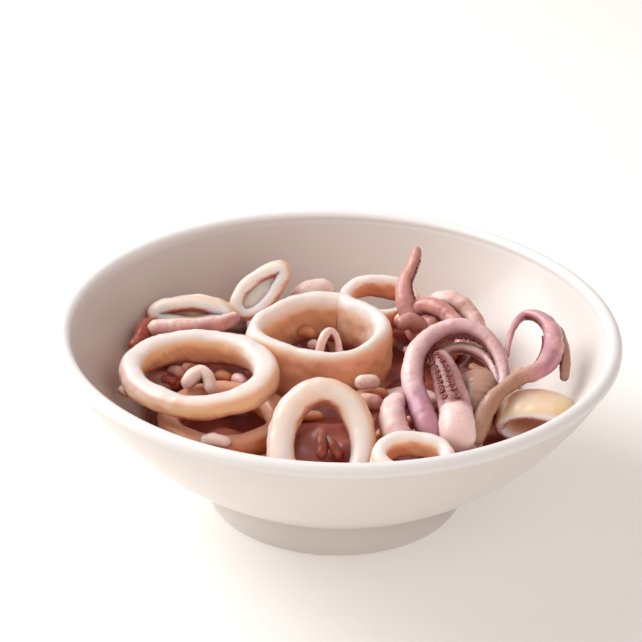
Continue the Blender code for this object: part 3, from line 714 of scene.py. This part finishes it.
def coreGrid():
    # rings out from the middle over the top, then back under along the bowl's inside
    turn = np.linspace(0, 2 * np.pi, heap["steps"], endpoint=False)
    edge = np.sqrt((sphereRadius - 0.8) ** 2 - (sphereHeight - heap["height"] + 1) ** 2)
    r = np.linspace(0.02, edge, heap["rings"])[:, None]
    x, y = r * np.cos(turn), r * np.sin(turn)
    z = bedTop(x, y) - heap["sink"]
    z += heap["relief"] * (ripple(np.stack([x, y, z], -1), heap["lump"], 7) - 0.6)
    top = np.stack([x, y, z], -1)
    rBack = np.linspace(edge - 1, 0.02, 40)[:, None]
    back = np.stack([rBack * np.cos(turn), rBack * np.sin(turn),
                     sphereHeight - np.sqrt((sphereRadius - 1) ** 2 - rBack ** 2) + 0 * turn], -1)
    return press(np.vstack([top, back]), 0.8)


# the core wears the flesh painted in deep shade, and painted light where it faces the key
core = coreGrid()
newPiece("heapCore", [core], shadeFlesh, "bed", False, {
    "cut": [0.2 + 0 * core[..., 0]], "skin": [0.3 + 0 * core[..., 0]], "paintedLightAndPale": [0.6 * paintedLightAndPale(core, False)]})

# Small tips and scraps in the gaps: each group's finish, and its paleness and knots as for the arms. The
# shade and amber finishes are flesh painted in shade, and the paleness is painted light on the side facing
# the key. The dark scraps stand in for shadow: the one against the left wall also for the flesh's reflection
# in the glaze.
bits = {
    "pinkBits": (backArms, (0.1, 0.5), (
        ((-52, 7, 35.5, 1.6), (-49.7, 5.7, 36.6, 2), (-47, 4, 36, 1.5)),
        ((-32, 3, 35, 1.8), (-29.8, 1.5, 36.2, 2.2), (-27.5, -1.5, 35.5, 1.6)),
        ((-65, -12, 39.5, 1.2), (-63.4, -14.1, 40.3, 1.6), (-61.5, -16.5, 40, 1.2)),
        ((5, -12.5, 35.5, 2), (9, -10.5, 36.5, 2.6), (14, -11, 36, 2)),
        ((19, 41, 36.5, 2), (21, 40, 38.6, 2.4), (23, 38, 37.5, 1.8)))),
    "duskyBits": (shadeFlesh, (0.3, 0.5), (
        ((-4.1, -25, 34, 1.7), (-4.2, -30, 33.4, 1.8), (-4.3, -36, 31.6, 1.7)),
        ((-3.8, -27, 33.8, 1.4), (-1.2, -31, 33.2, 1.6), (1.4, -36, 31.6, 1.5)),
        ((-54, 3.6, 34.4, 1.2), (-51.9, 2.3, 35.3, 1.5), (-49.5, 1, 34.6, 1.2)))),
    "paleBits": (backArms, (0.8, 0.3), (
        ((-39.5, -34.2, 35.6, 1.4), (-35.2, -35.6, 36.8, 2), (-30.5, -37, 36.6, 1.4)),
        ((-9, 31.5, 32.6, 1.3), (-7.5, 31, 33.8, 1.7), (-6, 30, 33.4, 1.2)),
        ((22.6, -9, 51, 1), (21.6, -7.6, 52.4, 1.3), (20.4, -6.6, 53, 0.9)))),
    "amberBits": (halfShadeFlesh, (0.2, 0.3), (
        ((-13, 34.5, 35.5, 1.4), (-10, 34, 36.8, 1.9), (-7, 33, 36, 1.5)),
        ((-38, 7.5, 34.2, 1.6), (-34.8, 6.3, 34.8, 2), (-32, 5, 34.2, 1.6)))),
    "paintedShadowScraps": (shadeFlesh, (0, 0.2), (
        ((-64, 14, 40, 1.4), (-61.6, 20, 40.4, 2.6), (-60.4, 25.5, 41, 3), (-57, 29, 42, 1.8)),
        ((25, 44, 35, 3), (27, 43, 37.5, 3.6), (30, 42, 36, 3)))),
}
for name, (finish, pale, lines) in bits.items():
    shapes = [armGrid(smoothLine(knots), (knots[1][0], knots[1][1], 0), 500 + k, 28)
              for k, knots in enumerate(lines)]
    grids = [roughen(press(grid), False, uneven["strip"], 520 + k) for k, (grid, _) in enumerate(shapes)]
    newPiece(name, grids, finish, "bed", False, {
        "oral": [oral for _, oral in shapes], "paintedLightAndPale": [paleness(grid, {"pale": pale}) for grid in grids]})

# Pieces lying loose in the heap are put where nothing else is: each is tried at a random place, and stays
# if it clears all that is there by its own radius. Holes (x, y, radius) stay free of them all, and rings
# also stay out from under the front cluster.
loose = {"tries": 900, "strips": 46, "rings": 9, "seed": 21, "reach": 60.0, "ringReach": 56.0,
         "radius": (1.7, 3.0), "length": (14, 34),
         "holes": ((-4, -33, 11), (-41, -9, 10), (-6, 21, 10), (12, -14, 9), (-29, -20, 5), (52, 34, 5),
                   (55.5, 11, 4)),
         "noRings": ((44, -8, 12), (42, 6, 12), (60, 4, 14))}
random = np.random.default_rng(loose["seed"])
fixed = np.vstack([points for name, points in placed.items() if name not in ("bowlShell", "heapCore")])
nearest = KDTree(len(fixed))
for k, point in enumerate(fixed):
    nearest.insert(point, k)
nearest.balance()
added = [np.full((1, 3), 1000.0)]


def onHeap(x, y, above):
    # points at a height above the top of the heap
    return np.stack([x, y, bedTop(x, y) + above], -1)


def isClear(points, radius, free):
    # true if no point of the line or shape comes within radius of a piece, or into a place that stays free
    for x, y, reach in free:
        if (np.hypot(points[:, 0] - x, points[:, 1] - y) < reach).any():
            return False
    if min(nearest.find(point)[2] for point in points) <= radius:
        return False
    return np.linalg.norm(points[:, None] - np.vstack(added)[None], axis=-1).min() > radius


def looseStrip():
    # an arc on the heap with a radius that swells in the middle
    angle, bend, turn = random.uniform(0, 2 * np.pi, 1), random.uniform(-1.4, 1.4), random.uniform(0, np.pi)
    length, radius = random.uniform(*loose["length"]), random.uniform(*loose["radius"])
    r = loose["reach"] * random.uniform(0, 1) ** 0.5
    knots = 7
    share = np.linspace(-0.5, 0.5, knots)
    heading = turn + bend * share
    x = r * np.cos(angle) + np.cumsum(np.cos(heading)) * length / knots - np.cos(turn) * length / 2
    y = r * np.sin(angle) + np.cumsum(np.sin(heading)) * length / knots - np.sin(turn) * length / 2
    line = onHeap(x, y, radius * random.choice([0.5, 1.6]))
    return np.column_stack([line, radius * (1 - 1.6 * share ** 2)])


def looseRing():
    # a small ring lying on the heap, a little tilted
    return {"half": tuple(random.uniform(7.5, 12, 2)), "wall": random.uniform(3.6, 4.8),
            "band": random.uniform(5, 8), "lean": random.uniform(-22, 22), "turn": random.uniform(0, 180),
            "lobes": ((3, 0.05, random.uniform(0, 120)),), "seed": int(random.integers(1000))}


looseRings, looseStrips = [], []
for attempt in range(loose["tries"]):
    if attempt < loose["tries"] / 2 and len(looseRings) < loose["rings"]:
        shape = looseRing()
        r, angle = loose["ringReach"] * random.uniform(0, 1) ** 0.5, random.uniform(0, 2 * np.pi)
        grid, cut, skin = ringGrid(shape, 120, 40)
        grid = press(grid + onHeap(r * np.cos(angle), r * np.sin(angle), shape["band"] * 0.35))
        if isClear(grid[::4, ::5].reshape(-1, 3), 1.0, loose["holes"] + loose["noRings"]):
            added.append(grid[::3, ::4].reshape(-1, 3))
            grid = roughen(grid, True, uneven["looseRing"], shape["seed"])
            looseRings.append((grid, cut, skin))
    elif len(looseStrips) < loose["strips"]:
        line = smoothLine(looseStrip(), 1.2)
        line[:, :3] = press(line[:, :3], line[:, 3].max() + 0.6)
        if isClear(line[:, :3], line[:, 3].max(), loose["holes"]):
            grid, oral = armGrid(line, (line[3, 0], line[3, 1], 90), 300 + len(looseStrips), 28)
            added.append(grid[::2, ::5].reshape(-1, 3))
            grid = roughen(grid, False, uneven["strip"], 400 + len(looseStrips))
            looseStrips.append((grid, oral))
# loose rings and strips take painted light where they face the key
newPiece("looseRings", [ring[0] for ring in looseRings], mantleFlesh, "bed", True, {
    "cut": [ring[1] for ring in looseRings], "skin": [ring[2] for ring in looseRings],
    "paintedLightAndPale": [paintedLightAndPale(ring[0], True) for ring in looseRings]})
# the loose scraps wear the flesh painted in half shade
looseKinds = (("looseArms", backArms, looseStrips[::2]), ("looseScraps", halfShadeFlesh, looseStrips[1::2]))
for name, finish, part in looseKinds:
    newPiece(name, [strip[0] for strip in part], finish, "bed", False, {
        "oral": [-strip[1] for strip in part], "paintedLightAndPale": [paintedLightAndPale(strip[0], False) for strip in part]})
print("heap made:", len(looseRings), "loose rings,", len(looseStrips), "loose strips")

# Floor: matt pale paper with a fine grain, and a faint glow so that the bowl stands on near white.
paper = {"reach": 3000.0, "grain": 0.8, "low": "#F2F1EF", "high": "#F7F6F4",
         "glow": "#FFFDFC", "strength": 0.2}
floorFinish, floorTree, floorOutput = newFinish("matt pale paper")
floorPlace = add(floorTree, "TexCoord").outputs["Object"]
grain = add(floorTree, "TexNoise", {"Scale": 1 / (paper["grain"] * mm), "Detail": 2}, {"Vector": floorPlace})
floorColour = add(floorTree, "Mix", {
    "data_type": "RGBA", 6: toLinear(paper["low"]), 7: toLinear(paper["high"])}, {0: grain})
sheet = add(floorTree, "BsdfPrincipled", {
    "Roughness": 0.9, "Emission Color": toLinear(paper["glow"]), "Emission Strength": paper["strength"],
}, {"Base Color": floorColour})
floorTree.links.new(sheet.outputs[0], floorOutput.inputs["Surface"])
far = paper["reach"] * mm
floorMesh = bpy.data.meshes.new("floor")
floorMesh.from_pydata([(-far, -far, 0), (far, -far, 0), (far, far, 0), (-far, far, 0)], [], [(0, 1, 2, 3)])
floorMesh.materials.append(floorFinish)
floor = bpy.data.objects.new("floor", floorMesh)
bpy.context.scene.collection.objects.link(floor)

# The camera looks down on the rim's middle, a little off centre. Angles are in degrees.
view = {"lens": 111.9, "sensor": 36.0, "distance": 600.0, "elevation": 27.083, "roll": 1.2515,
        "aim": (-5.345, 0.122)}
tilt, roll = np.radians(view["elevation"]), np.radians(view["roll"])
back = np.array([0, -np.cos(tilt), np.sin(tilt)])
level, upright = np.array([1.0, 0, 0]), np.array([0, np.sin(tilt), np.cos(tilt)])
right, up = np.cos(roll) * level + np.sin(roll) * upright, np.cos(roll) * upright - np.sin(roll) * level
aim = np.array([0, 0, bowlHeight]) + view["aim"][0] * right + view["aim"][1] * up
place = Matrix(np.column_stack([right, up, back]).tolist()).to_4x4()
place.translation = Vector((aim + back * view["distance"]) * mm)
camera = bpy.data.objects.new("camera", bpy.data.cameras.new("camera"))
camera.data.lens, camera.data.sensor_width = view["lens"], view["sensor"]
camera.data.clip_start, camera.data.clip_end = 0.02, 20
camera.matrix_world = place
bpy.context.scene.collection.objects.link(camera)
bpy.context.scene.camera = camera

for name in ("key", "fill"):
    light = lights[name]
    lamp = bpy.data.objects.new(name, bpy.data.lights.new(name, "AREA"))
    lamp.data.energy, lamp.data.size = light["watts"], light["size"]
    lamp.data.color = toLinear(light["colour"])[:3]
    direction = Vector(light["from"]).normalized()
    lamp.location = direction * light["distance"] + Vector(lights["aim"])
    lamp.rotation_euler = direction.to_track_quat("Z", "Y").to_euler()
    bpy.context.scene.collection.objects.link(lamp)
world = bpy.data.worlds.new("studio")
world.use_nodes = True
world.node_tree.nodes["Background"].inputs["Color"].default_value = toLinear(lights["world"]["colour"])
world.node_tree.nodes["Background"].inputs["Strength"].default_value = lights["world"]["strength"]
bpy.context.scene.world = world
bpy.context.scene.view_settings.view_transform = "Standard"

print("scene ready")
